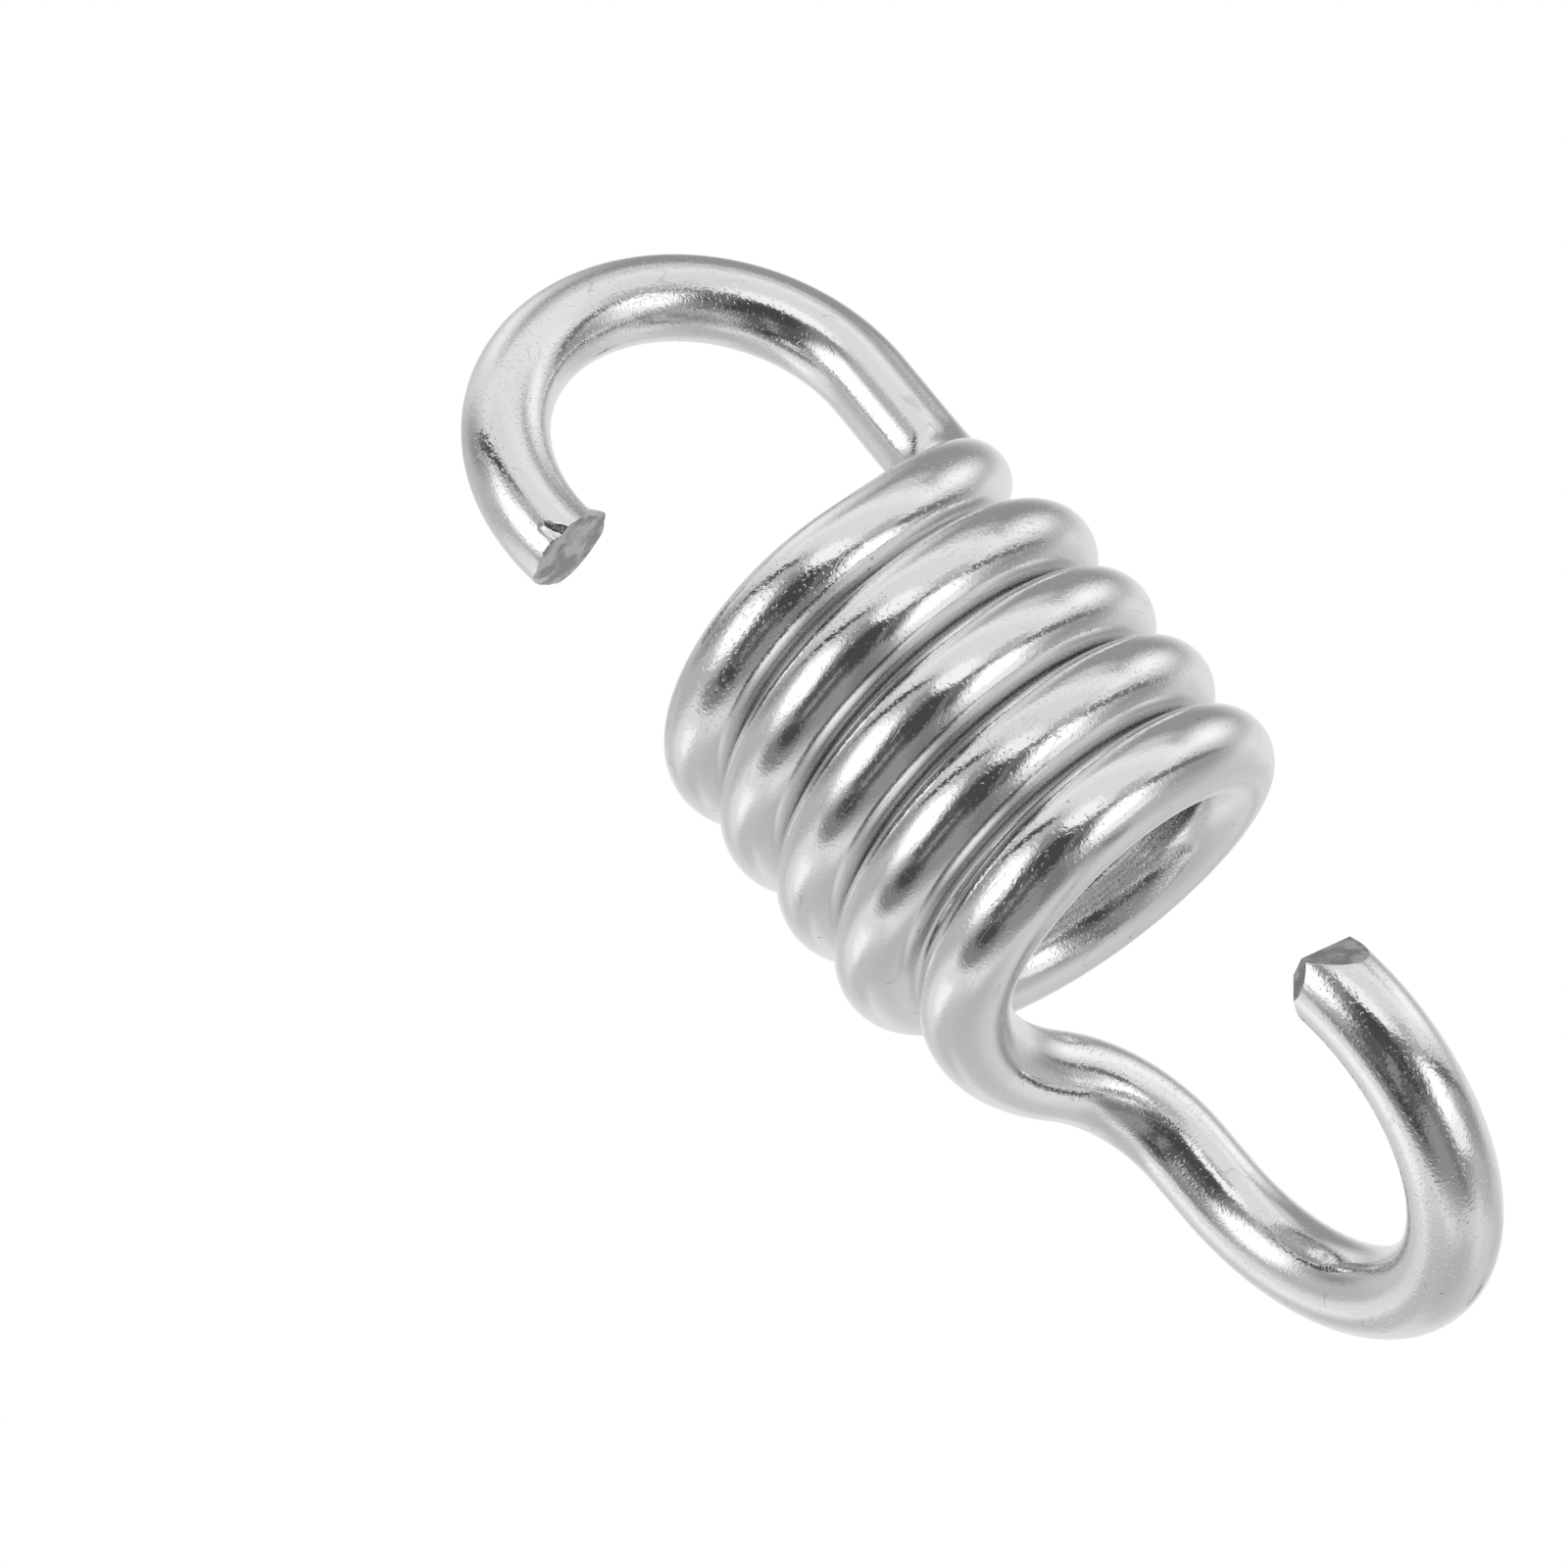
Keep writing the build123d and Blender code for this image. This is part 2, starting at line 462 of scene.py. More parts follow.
@dataclass(frozen=True)
class SpringWire:
    """The whole spring: one wire, a close coil with a hook at each end.

    The skin has sides faces round the wire and one every step along it, and lies ease inside
    the wire's true surface. stock is the wire left beyond a tip's end before it is sheared,
    and rim the width of the rolled edge round its faces. A strand dips into a crease where it
    stands crease_from to crease_to of its radius over or under its middle, and the creases go
    on for crease_past of a pitch beyond the coil's ends. slack is the share by which a ring
    may be off its place, tip_reach how many wires back the work on a tip goes, and level how
    square to a cut's normal a face has to be. Edges over sharp_angle are rolled and those over
    smooth_angle stay creased. snap and weld are the distances at which points become one.
    """

    wire: float
    coil_outer: float
    coil_gap: float
    turns: float
    upper: HookEnd
    lower: HookEnd
    finish: ZincPlate
    sides: int = 64
    step: float = 0.5 * MM
    stock: float = 2.0 * MM
    ease: float = 0.02 * MM
    rim: float = 0.07 * MM
    crease_from: float = 0.62
    crease_to: float = 0.92
    crease_past: float = 0.6
    slack: float = 0.05
    tip_reach: float = 1.3
    level: float = 0.9999
    sharp_angle: float = 30.0
    smooth_angle: float = 32.0
    snap: float = 0.0001 * MM
    weld: float = 0.005 * MM

    NODE = "spring_wire"
    DRAWN = "drawn"
    SHEARED = "sheared"
    TUCKED = "tucked"

    @property
    def radius(self) -> float:
        """The wire's radius."""
        return self.wire / 2

    @property
    def coil_radius(self) -> float:
        """Radius of the coil's centre line."""
        return (self.coil_outer - self.wire) / 2

    @property
    def pitch(self) -> float:
        """Rise of the coil in one turn."""
        return self.wire + self.coil_gap

    @property
    def coil_height(self) -> float:
        """Height of the coil's centre line."""
        return self.turns * self.pitch

    def eye_centre(self, end: HookEnd) -> Vector:
        """Centre of a hook's eye over the middle of the coil."""
        return Vector((0.0, -end.eye_off_axis, self.coil_height / 2 + end.eye_rise))

    def hook_point(self, end: HookEnd, angle: float) -> tuple[Vector, Vector]:
        """Point of the centre line on a hook's arc, and its direction there."""
        across, up, _ = end.axes()
        turn = math.radians(angle)
        reach = (end.eye + self.wire) / 2
        point = self.eye_centre(end) + (across * math.cos(turn) + up * math.sin(turn)) * reach
        return point, up * math.cos(turn) - across * math.sin(turn)

    def build(self) -> bpy.types.Object:
        """Models the wire and dresses it.

        Returns:
            The finished piece, in place in the row frame.
        """
        skin = self._coil()
        bpy.ops.object.mode_set(mode="EDIT")
        bpy.ops.mesh.select_mode(type="VERT")
        half_turn = Matrix.Rotation(math.pi, 4, Axis.X.value)
        self._draw_end(skin, self.upper, self._round_turn())
        self._draw_end(skin, self.lower, half_turn)
        bpy.ops.object.mode_set(mode="OBJECT")
        self._mark_length(skin)
        self._shear(skin, self.upper, self._round_turn())
        self._shear(skin, self.lower, half_turn)
        self._settle(skin)
        skin.data.materials.clear()
        skin.data.materials.append(self.finish.material())
        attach(skin, "root")
        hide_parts(self.NODE)
        return skin

    def _round_turn(self) -> Matrix:
        """Turns a sketch of the upper end round with the coil."""
        return Matrix.Rotation(2 * math.pi * self.turns, 4, Axis.Z.value)

    def _coil(self) -> bpy.types.Object:
        """Screws a ring of points up into the coil."""
        rise = self.pitch / (2 * math.pi * self.coil_radius)
        tangent = Vector((0.0, 1.0, rise)).normalized()
        bpy.ops.object.select_all(action="DESELECT")
        bpy.ops.mesh.primitive_circle_add(
            vertices=self.sides, radius=self.radius - self.ease, fill_type="NOTHING",
            location=(self.coil_radius, 0.0, -self.coil_height / 2), rotation=turned_to(tangent))
        skin = bpy.context.object
        skin.name = "wire_skin"
        bpy.ops.object.transform_apply(location=True, rotation=True, scale=True)
        screw = skin.modifiers.new("coil", "SCREW")
        screw.axis = Axis.Z.value
        screw.angle = 2 * math.pi * self.turns
        screw.screw_offset = self.coil_height
        screw.steps = round(2 * math.pi * self.turns * self.coil_radius / self.step)
        screw.render_steps = screw.steps
        screw.use_smooth_shade = True
        bpy.ops.object.modifier_apply(modifier=screw.name)
        return skin

    def _draw_end(self, skin: bpy.types.Object, end: HookEnd, place: Matrix) -> None:
        """Draws one end of the wire on from the coil to its tip.

        Args:
            skin: the coil, in edit mode.
            end: the end's sizes.
            place: turns the end's sketch into the coil's frame.
        """
        rise = self.pitch / (2 * math.pi * self.coil_radius)
        start = Vector((self.coil_radius, 0.0, self.coil_height / 2))
        drawer = WireDrawer(skin, place, start, Vector((0.0, 1.0, rise)), self.step)
        self._pick_ring(skin, place @ start, place.to_3x3() @ drawer.direction)
        lift = math.radians(end.lead_lift)
        drawer.bend(end.lead_radius, end.lead_angle, Vector((-math.cos(lift), 0.0, math.sin(lift))))

        hook_start, hook_direction = self.hook_point(end, end.arc_from)
        corner = hook_start - hook_direction * end.neck_run
        gap = corner - drawer.point
        ahead = gap.dot(drawer.direction)
        aside = (gap - drawer.direction * ahead).length
        run = math.sqrt(gap.length_squared - 2 * aside * end.root_radius)
        root_angle = math.atan2(aside - end.root_radius, ahead) + math.atan2(end.root_radius, run)
        drawer.bend(end.root_radius, math.degrees(root_angle), gap)

        neck_angle = drawer.direction.angle(hook_direction)
        taken = end.neck_radius * math.tan(neck_angle / 2)
        drawer.straight(run - taken)
        drawer.bend(end.neck_radius, math.degrees(neck_angle), hook_direction)
        drawer.straight(end.neck_run - taken)
        hook_radius = (end.eye + self.wire) / 2
        sweep = end.arc_to - end.arc_from + math.degrees(self.stock / hook_radius)
        drawer.bend(hook_radius, sweep, self.eye_centre(end) - hook_start)
        log.info("%s end drawn to %s", end.name, [round(v / MM, 2) for v in place @ drawer.point])

    def _pick_ring(self, skin: bpy.types.Object, point: Vector, normal: Vector) -> None:
        """Selects the ring of points round a place on the wire, and nothing else."""
        bpy.ops.mesh.select_all(action="DESELECT")
        mesh = bmesh.from_edit_mesh(skin.data)
        for vertex in mesh.verts:
            offset = vertex.co - point
            beside = offset.length < (1.0 + self.slack) * self.radius
            vertex.select_set(beside and abs(offset.dot(normal)) < self.slack * self.step)
        mesh.select_flush(True)
        bmesh.update_edit_mesh(skin.data)

    def _lower_ring(self, mesh: bmesh.types.BMesh) -> list[bmesh.types.BMVert]:
        """The ring of points at the open end of the lower hook, in order."""
        tip, _ = self.hook_point(self.lower, self.lower.arc_to)
        tip = Matrix.Rotation(math.pi, 3, Axis.X.value) @ tip
        open_edges = [edge for edge in mesh.edges if len(edge.link_faces) == 1]
        first = min(open_edges, key=lambda edge: (edge.verts[0].co - tip).length).verts[0]
        ring = [first]
        previous = None
        vertex = first
        while True:
            onward = [edge.other_vert(vertex) for edge in vertex.link_edges if len(edge.link_faces) == 1]
            following = next(point for point in onward if point is not previous)
            if following is first:
                return ring
            ring.append(following)
            previous, vertex = vertex, following

    def _mark_length(self, skin: bpy.types.Object) -> None:
        """Walks along the wire ring by ring and stores where each point lies on it.

        DRAWN takes the point's place on the wire laid straight and TUCKED how deep it lies in
        a crease.

        Args:
            skin: the wire, in object mode, with an open ring at each end.
        """
        mesh = bmesh.new()
        mesh.from_mesh(skin.data)
        drawn = mesh.verts.layers.float_vector.new(self.DRAWN)
        tucked = mesh.verts.layers.float.new(self.TUCKED)
        creased = self.coil_height / 2 + self.crease_past * self.pitch
        ring = self._lower_ring(mesh)
        seen = set(ring)
        middle = middle_of(ring)
        length = 0.0
        while ring:
            for number, vertex in enumerate(ring):
                turn = 2 * math.pi * number / len(ring)
                vertex[drawn] = (length, self.radius * math.cos(turn), self.radius * math.sin(turn))
                if abs(middle.z) < creased:
                    height = abs(vertex.co.z - middle.z) / self.radius
                    vertex[tucked] = smooth_step(self.crease_from, self.crease_to, height)
            onward = [next((edge.other_vert(vertex) for edge in vertex.link_edges
                            if edge.other_vert(vertex) not in seen), None) for vertex in ring]
            if onward[0] is None:
                break
            seen.update(onward)
            centre = middle_of(onward)
            length += (centre - middle).length
            ring, middle = onward, centre
        mesh.to_mesh(skin.data)
        mesh.free()
        log.info("wire is %.1f mm long before it is sheared", length / MM)

    def _shear(self, skin: bpy.types.Object, end: HookEnd, place: Matrix) -> None:
        """Cuts one end of the wire to its flat faces, marks them and wears their edges.

        Args:
            skin: the wire, in object mode, with an open ring at this end.
            end: the end's sizes.
            place: turns the end's sketch into the coil's frame.
        """
        point, along = self.hook_point(end, end.arc_to)
        _, _, face = end.axes()
        point = place @ point
        along = place.to_3x3() @ along
        face = place.to_3x3() @ face
        cuts = [shear.plane(point, along, face) for shear in end.shears]
        bpy.ops.object.mode_set(mode="EDIT")
        bpy.ops.mesh.select_mode(type="FACE")
        self._pick_tip(skin, point)
        bpy.ops.mesh.subdivide(number_cuts=2)
        for spot, normal in cuts:
            self._pick_tip(skin, point)
            bpy.ops.mesh.bisect(plane_co=spot, plane_no=normal, use_fill=True, clear_outer=True,
                                threshold=self.snap)
        self._mark_cuts(skin, point, [normal for _, normal in cuts])
        self._roll_rim(skin, point)
        bpy.ops.mesh.select_mode(type="VERT")
        for dent in end.dents:
            spot, push = dent.move(point, along, face, self.radius)
            self._pick_nearest(skin, spot)
            bpy.ops.transform.translate(
                value=tuple(push), use_proportional_edit=True,
                proportional_edit_falloff="SMOOTH", proportional_size=dent.reach)
        bpy.ops.object.mode_set(mode="OBJECT")
        log.info("%s tip sheared", end.name)

    def _mark_cuts(self, skin: bpy.types.Object, point: Vector, normals: list[Vector]) -> None:
        """Marks the cut faces of a tip, each of many sides and square to one of the normals."""
        mesh = bmesh.from_edit_mesh(skin.data)
        layer = mesh.faces.layers.float.get(self.SHEARED) or mesh.faces.layers.float.new(self.SHEARED)
        for cut in mesh.faces:
            near = (cut.calc_center_median() - point).length < self.wire
            if near and len(cut.verts) > 4 and max(abs(cut.normal.dot(way)) for way in normals) > self.level:
                cut[layer] = 1.0
        bmesh.update_edit_mesh(skin.data)

    def _roll_rim(self, skin: bpy.types.Object, point: Vector) -> None:
        """Rolls over the sharp edges round the cut faces of a tip."""
        self._pick_tip(skin, point)
        bpy.ops.mesh.remove_doubles(threshold=0.5 * self.rim)
        bpy.ops.mesh.select_mode(type="EDGE")
        self._pick_rim(skin)
        bpy.ops.mesh.bevel(offset=self.rim, segments=2, affect="EDGES", clamp_overlap=True)

    def _pick_rim(self, skin: bpy.types.Object) -> None:
        """Selects the edges of the cut faces that are still sharp."""
        bpy.ops.mesh.select_all(action="DESELECT")
        mesh = bmesh.from_edit_mesh(skin.data)
        layer = mesh.faces.layers.float.get(self.SHEARED)
        for edge in mesh.edges:
            cut = any(part[layer] > 0.5 for part in edge.link_faces)
            edge.select_set(cut and edge.calc_face_angle(0.0) > math.radians(self.sharp_angle))
        bmesh.update_edit_mesh(skin.data)

    def _pick_nearest(self, skin: bpy.types.Object, spot: Vector) -> None:
        """Selects the one point of the wire that lies nearest to a spot."""
        bpy.ops.mesh.select_all(action="DESELECT")
        mesh = bmesh.from_edit_mesh(skin.data)
        nearest = min(mesh.verts, key=lambda vertex: (vertex.co - spot).length)
        nearest.select_set(True)
        bmesh.update_edit_mesh(skin.data)

    def _pick_tip(self, skin: bpy.types.Object, point: Vector) -> None:
        """Selects the faces of the wire near a tip's end."""
        bpy.ops.mesh.select_all(action="DESELECT")
        mesh = bmesh.from_edit_mesh(skin.data)
        for part in mesh.faces:
            part.select_set((part.calc_center_median() - point).length < self.tip_reach * self.wire)
        bmesh.update_edit_mesh(skin.data)

    def _settle(self, skin: bpy.types.Object) -> None:
        """Turns the wire into the row frame, with the upper hook's seat at the origin."""
        _, up, _ = self.upper.axes()
        seat = self.eye_centre(self.upper) + up * (self.upper.eye / 2)
        square = Matrix.Rotation(math.radians(90.0 - self.upper.plane_turn), 4, Axis.Z.value)
        skin.data.transform(square @ Matrix.Translation(-seat) @ self._round_turn().inverted())
        bpy.ops.object.select_all(action="DESELECT")
        skin.select_set(True)
        bpy.context.view_layer.objects.active = skin
        bpy.ops.object.mode_set(mode="EDIT")
        bpy.ops.mesh.select_all(action="SELECT")
        bpy.ops.mesh.remove_doubles(threshold=self.weld)
        bpy.ops.mesh.normals_make_consistent(inside=False)
        bpy.ops.object.mode_set(mode="OBJECT")
        bpy.ops.object.shade_smooth_by_angle(angle=math.radians(self.smooth_angle))
        marks = skin.data.attributes[self.SHEARED].data
        for mark, polygon in zip(marks, skin.data.polygons):
            if mark.value > 0.5:
                polygon.use_smooth = False


@dataclass(frozen=True)
class Panel:
    """Something the bright wire mirrors: a softbox, or a dark or grey board in the studio.

    away is its angle from the camera and bearing the way it lies, from the right of the
    picture towards its top. wide and high are its half sizes and tilt its roll, all in
    degrees. edge is how soft its edge is, as a share of its size, and corner how square its
    corners are.
    """

    name: str
    away: float
    bearing: float
    wide: float
    high: float
    tilt: float
    light: float
    edge: float = 0.35
    corner: float = 2.0

    def axes(self, right: Vector, up: Vector, back: Vector) -> tuple[Vector, Vector, Vector]:
        """The way to its middle, and its own wide and high axes.

        Args:
            right: the picture's right.
            up: the picture's top.
            back: the way to the camera.

        Returns:
            Three unit vectors, square to each other.
        """
        away = math.radians(self.away)
        bearing = math.radians(self.bearing)
        sideways = right * math.cos(bearing) + up * math.sin(bearing)
        middle = back * math.cos(away) + sideways * math.sin(away)
        outward = sideways * math.cos(away) - back * math.sin(away)
        other = middle.cross(outward)
        roll = math.radians(self.tilt) - bearing
        wide = outward * math.cos(roll) + other * math.sin(roll)
        high = other * math.cos(roll) - outward * math.sin(roll)
        return middle, wide, high

    def mask(self, way: Socket, view: tuple[Vector, Vector, Vector]) -> Socket:
        """1 where a way meets the panel and 0 off it, with a soft edge."""
        middle, wide, high = self.axes(*view)
        ahead = way.dot(middle)
        across = abs(way.dot(wide) / ahead) / math.tan(math.radians(self.wide))
        along = abs(way.dot(high) / ahead) / math.tan(math.radians(self.high))
        reach = (across ** self.corner + along ** self.corner) ** (1.0 / self.corner)
        return reach.ramp(1.0 + self.edge, 1.0 - self.edge) * ahead.ramp(0.0, 0.1)


@dataclass(frozen=True)
class Studio:
    """A pale room round the spring: floor, soft light, panels to mirror, and the camera."""

    panels: tuple[Panel, ...]
    camera_place: Vector
    camera_look: Vector
    camera_up: Vector
    camera_lens: float
    camera_sensor: float = 36.0
    camera_near: float = 0.01
    room_light: float = 0.807
    floor_drop: float = 0.30
    floor_half: float = 6.0
    floor_light: float = 0.86
    floor_roughness: float = 0.8
    lamp_place: tuple[float, float, float] = (0.05, -0.1, 0.55)
    lamp_size: float = 0.5
    lamp_power: float = 1.2
    mirror_bounces: int = 8

    def build(self) -> None:
        """Makes the camera, floor, lamp and world."""
        self._camera()
        self._floor()
        self._lamp()
        self._world()
        scene = bpy.context.scene
        scene.view_settings.view_transform = "Standard"
        scene.cycles.glossy_bounces = self.mirror_bounces

    def _axes(self) -> tuple[Vector, Vector, Vector]:
        """The picture's right and up, and the way back to the camera."""
        back = -self.camera_look.normalized()
        right = self.camera_up.cross(back).normalized()
        return right, back.cross(right), back

    def _camera(self) -> None:
        """Places the camera as the picture was taken."""
        bpy.ops.object.camera_add(location=self.camera_place)
        camera = bpy.context.object
        camera.rotation_euler = Matrix(self._axes()).transposed().to_euler()
        camera.data.lens = self.camera_lens
        camera.data.sensor_width = self.camera_sensor
        camera.data.clip_start = self.camera_near
        bpy.context.scene.camera = camera

    def _floor(self) -> None:
        """A plain pale floor well below the spring, which keeps its shadow."""
        low = CAD_BOX[0][2] - self.floor_drop
        bpy.ops.mesh.primitive_plane_add(size=2 * self.floor_half, location=(0.0, 0.0, low))
        floor = bpy.context.object
        floor.name = "floor"
        material = bpy.data.materials.new("pale_floor")
        material.use_nodes = True
        surface = material.node_tree.nodes["Principled BSDF"]
        surface.inputs["Base Color"].default_value = grey(self.floor_light)
        surface.inputs["Roughness"].default_value = self.floor_roughness
        floor.data.materials.append(material)
        floor.visible_glossy = False

    def _lamp(self) -> None:
        """One soft lamp above."""
        bpy.ops.object.light_add(type="AREA", location=self.lamp_place)
        lamp = bpy.context.object
        lamp.name = "soft_lamp"
        lamp.data.shape = "SQUARE"
        lamp.data.size = self.lamp_size
        lamp.data.energy = self.lamp_power
        lamp.visible_camera = False
        lamp.visible_glossy = False

    def _world(self) -> None:
        """The room: white to the camera, and to the wire a pale room with its panels."""
        world = bpy.data.worlds.new("pale_room")
        bpy.context.scene.world = world
        world.use_nodes = True
        tree = world.node_tree
        tree.nodes.clear()
        way = add_node(tree, "ShaderNodeTexCoord", {}, {}, "Generated")
        colour = add_node(tree, "ShaderNodeRGB", {}, {})
        colour.out.default_value = grey(self.room_light)
        view = self._axes()
        for panel in self.panels:
            colour = mix_colour(panel.mask(way, view), colour, grey(panel.light))
            log.debug("panel %s hung", panel.name)
        room = add_node(tree, "ShaderNodeBackground", {}, {"Color": colour, "Strength": 1.0})
        white = add_node(tree, "ShaderNodeBackground", {}, {"Color": grey(1.0), "Strength": 1.0})
        seen = add_node(tree, "ShaderNodeLightPath", {}, {}, "Is Camera Ray")
        surface = add_node(tree, "ShaderNodeMixShader", {}, {0: seen, 1: room, 2: white})
        output = tree.nodes.new("ShaderNodeOutputWorld")
        tree.links.new(surface.out, output.inputs["Surface"])


UPPER = HookEnd(
    name="upper", lead_radius=13.9 * MM, lead_angle=110.9, lead_lift=3.2,
    root_radius=15.4 * MM, neck_radius=8.1 * MM, neck_run=12.7 * MM,
    eye=25.0 * MM, eye_rise=21.4 * MM, eye_off_axis=0.6 * MM,
    plane_turn=216.3, plane_lean=2.2, arc_from=-3.1, arc_to=189.4,
    shears=(Shear(tilt=3.0, turn=34.6),
            Shear(tilt=25.0, turn=124.6, start=2.6 * MM)),
    dents=(Dent(turn=270.0, back=0.0, push=0.45 * MM, reach=2.6 * MM),
           Dent(turn=297.0, back=0.0, push=0.55 * MM, reach=1.3 * MM),
           Dent(turn=22.0, back=0.10 * MM, push=-0.45 * MM, reach=0.8 * MM),
           Dent(turn=27.0, back=0.70 * MM, push=-0.25 * MM, reach=0.7 * MM),
           Dent(turn=30.0, back=1.30 * MM, push=-0.12 * MM, reach=0.7 * MM)))
LOWER = HookEnd(
    name="lower", lead_radius=13.4 * MM, lead_angle=80.8, lead_lift=3.9,
    root_radius=15.0 * MM, neck_radius=12.3 * MM, neck_run=10.3 * MM,
    eye=25.3 * MM, eye_rise=22.4 * MM, eye_off_axis=2.0 * MM,
    plane_turn=179.7, plane_lean=4.8, arc_from=-7.9, arc_to=191.4,
    shears=(Shear(tilt=2.0, turn=150.0),
            Shear(tilt=68.0, turn=106.6, start=1.85 * MM),
            Shear(tilt=40.0, turn=326.6, start=1.5 * MM),
            Shear(tilt=60.0, turn=22.0, start=2.6 * MM)))

PANELS = (
    Panel("top_grey", away=120.8, bearing=77.3, wide=46.6, high=33.7, tilt=-31.5, light=0.332,
          edge=0.61, corner=5.4),
    Panel("upper_light", away=79.9, bearing=74.1, wide=56.4, high=9.9, tilt=-22.6, light=0.885,
          edge=0.51, corner=1.6),
    Panel("far_left", away=110.6, bearing=165.4, wide=31.5, high=15.5, tilt=15.0, light=0.299,
          edge=1.00, corner=2.2),
    Panel("upper_right_lamp", away=103.5, bearing=39.1, wide=14.5, high=20.9, tilt=-43.1, light=1.089,
          edge=1.00, corner=1.6),
    Panel("lower_left_lamp", away=102.6, bearing=232.2, wide=18.3, high=11.5, tilt=-14.0, light=1.036,
          edge=0.43, corner=3.8),
    Panel("bottom_grey", away=119.5, bearing=287.0, wide=56.8, high=16.5, tilt=-9.1, light=0.617,
          edge=0.60, corner=4.9),
    Panel("right_grey", away=92.8, bearing=359.1, wide=21.9, high=21.4, tilt=-15.2, light=0.344,
          edge=0.82, corner=5.3),
    Panel("far_top_left_lamp", away=118.3, bearing=120.2, wide=14.1, high=24.6, tilt=31.2, light=0.949,
          edge=1.00, corner=1.6),
    Panel("far_low_left_grey", away=118.7, bearing=240.4, wide=11.3, high=22.9, tilt=-30.9, light=0.586,
          edge=0.54, corner=3.2),
    Panel("far_left_grey", away=110.7, bearing=183.2, wide=53.0, high=13.4, tilt=-5.6, light=0.522,
          edge=0.68, corner=5.0),
    Panel("far_low_right_lamp", away=118.6, bearing=312.7, wide=11.0, high=19.3, tilt=8.6, light=0.722,
          edge=0.87, corner=2.4),
    Panel("behind_left", away=142.9, bearing=204.5, wide=10.4, high=20.7, tilt=-1.9, light=0.649,
          edge=1.00, corner=2.0),
    Panel("low_grey", away=98.6, bearing=273.4, wide=25.7, high=13.4, tilt=27.8, light=0.538,
          edge=0.73, corner=2.5),
    Panel("low_right_board", away=79.6, bearing=336.4, wide=28.0, high=12.7, tilt=-9.8, light=0.519,
          edge=0.89, corner=2.7),
    Panel("upper_grey", away=95.3, bearing=78.4, wide=13.2, high=7.7, tilt=-19.9, light=0.688,
          edge=1.00, corner=2.7),
    Panel("right_streak", away=59.7, bearing=19.7, wide=45.1, high=4.8, tilt=9.2, light=0.200,
          edge=0.50, corner=3.9),
    Panel("left_grey", away=54.7, bearing=133.7, wide=16.6, high=15.0, tilt=-17.6, light=0.513,
          edge=0.50, corner=2.3),
    Panel("left_streak", away=76.6, bearing=138.7, wide=25.6, high=4.6, tilt=-7.2, light=0.090,
          edge=0.45, corner=1.6),
    Panel("low_field", away=26.5, bearing=273.3, wide=56.6, high=42.1, tilt=-11.6, light=0.301,
          edge=0.50, corner=3.6),
    Panel("low_arc", away=62.5, bearing=229.7, wide=30.2, high=13.6, tilt=-16.2, light=0.248,
          edge=0.50, corner=1.8),
    Panel("dark_field", away=19.1, bearing=169.1, wide=27.7, high=31.4, tilt=27.0, light=0.300,
          edge=0.24, corner=3.3),
    Panel("camera", away=2.7, bearing=210.2, wide=23.7, high=18.6, tilt=-35.9, light=0.070,
          edge=0.37, corner=3.1),
    Panel("low_left_dark", away=32.0, bearing=219.3, wide=15.3, high=21.9, tilt=50.5, light=0.110,
          edge=0.28, corner=3.0),
    Panel("low_left_streak", away=32.0, bearing=229.5, wide=16.7, high=4.0, tilt=52.8, light=0.271,
          edge=0.43, corner=3.1),
    Panel("low_dark_spot", away=53.0, bearing=231.7, wide=16.9, high=8.5, tilt=-23.1, light=0.074,
          edge=0.50, corner=2.0),
    Panel("right_dark_upper", away=20.2, bearing=22.2, wide=5.0, high=7.9, tilt=6.3, light=0.180,
          edge=0.50, corner=2.5),
    Panel("right_dark_lower", away=20.2, bearing=336.9, wide=4.6, high=5.7, tilt=7.9, light=0.104,
          edge=0.50, corner=2.0),
    Panel("right_grey_strip", away=15.6, bearing=333.3, wide=3.4, high=15.9, tilt=10.3, light=0.192,
          edge=0.50, corner=2.2),
    Panel("low_right_streak", away=46.0, bearing=304.7, wide=18.2, high=7.0, tilt=-53.6, light=0.220,
          edge=0.50, corner=3.4),
    Panel("high_lamp", away=30.9, bearing=87.1, wide=19.5, high=11.5, tilt=-24.2, light=1.025,
          edge=0.27, corner=1.6),
    Panel("left_softbox", away=57.0, bearing=170.3, wide=19.7, high=19.2, tilt=-7.9, light=1.300,
          edge=0.50, corner=3.6),
    Panel("right_softbox", away=46.5, bearing=355.9, wide=15.0, high=17.4, tilt=6.1, light=1.300,
          edge=0.50, corner=2.4),
    Panel("right_softbox_foot", away=60.2, bearing=341.8, wide=7.7, high=15.9, tilt=-65.9, light=0.960,
          edge=0.50, corner=2.9),
    Panel("low_right_lamp", away=78.6, bearing=300.1, wide=12.9, high=4.5, tilt=6.3, light=0.724,
          edge=0.70, corner=1.6),
    Panel("behind_dark", away=142.0, bearing=319.1, wide=5.2, high=7.0, tilt=12.4, light=0.271,
          edge=0.75, corner=1.6),
    Panel("high_right_grey", away=48.8, bearing=35.2, wide=11.5, high=7.7, tilt=7.6, light=0.522,
          edge=0.50, corner=3.1),
    Panel("behind_low_right", away=142.9, bearing=329.5, wide=11.6, high=6.9, tilt=4.8, light=0.681,
          edge=0.12, corner=1.6),
)


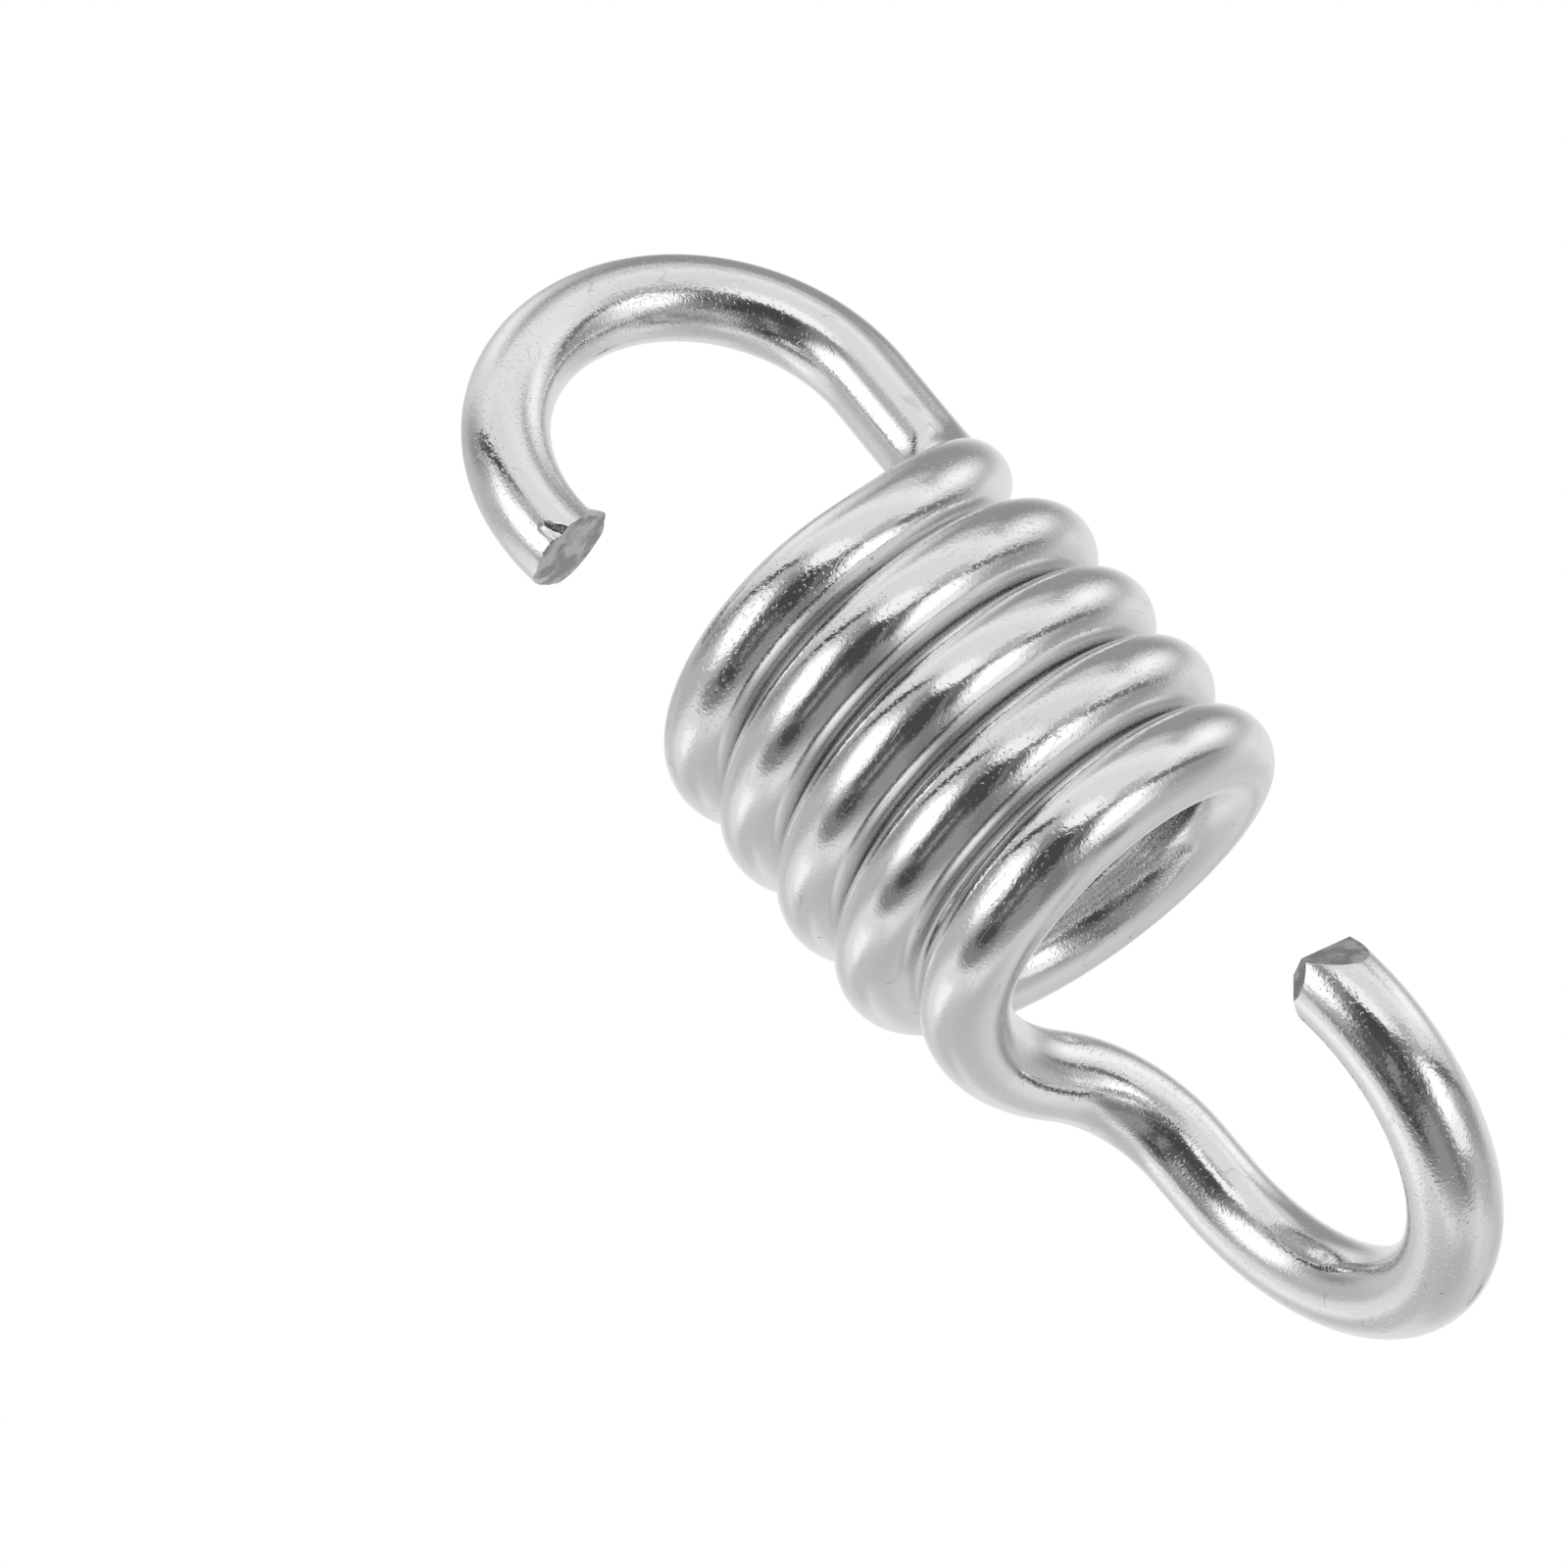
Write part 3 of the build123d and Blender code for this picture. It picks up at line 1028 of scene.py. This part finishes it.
def main() -> None:
    """Builds the studio and the spring."""
    logging.basicConfig(level=logging.INFO, format="%(name)s: %(message)s")
    studio = Studio(
        panels=PANELS,
        camera_place=Vector((321.388, -214.061, -179.613)) * MM,
        camera_look=Vector((-0.796504, 0.496434, 0.345160)),
        camera_up=Vector((0.562585, 0.399326, 0.723903)),
        camera_lens=123.22)
    studio.build()
    log.info("room has %d panels to mirror", len(PANELS))
    spring = SpringWire(wire=7.0 * MM, coil_outer=37.2 * MM, coil_gap=0.18 * MM, turns=3.66,
                        upper=UPPER, lower=LOWER, finish=ZincPlate())
    skin = spring.build()
    log.info("wire skin has %d faces", len(skin.data.polygons))


if __name__ == "__main__":
    main()
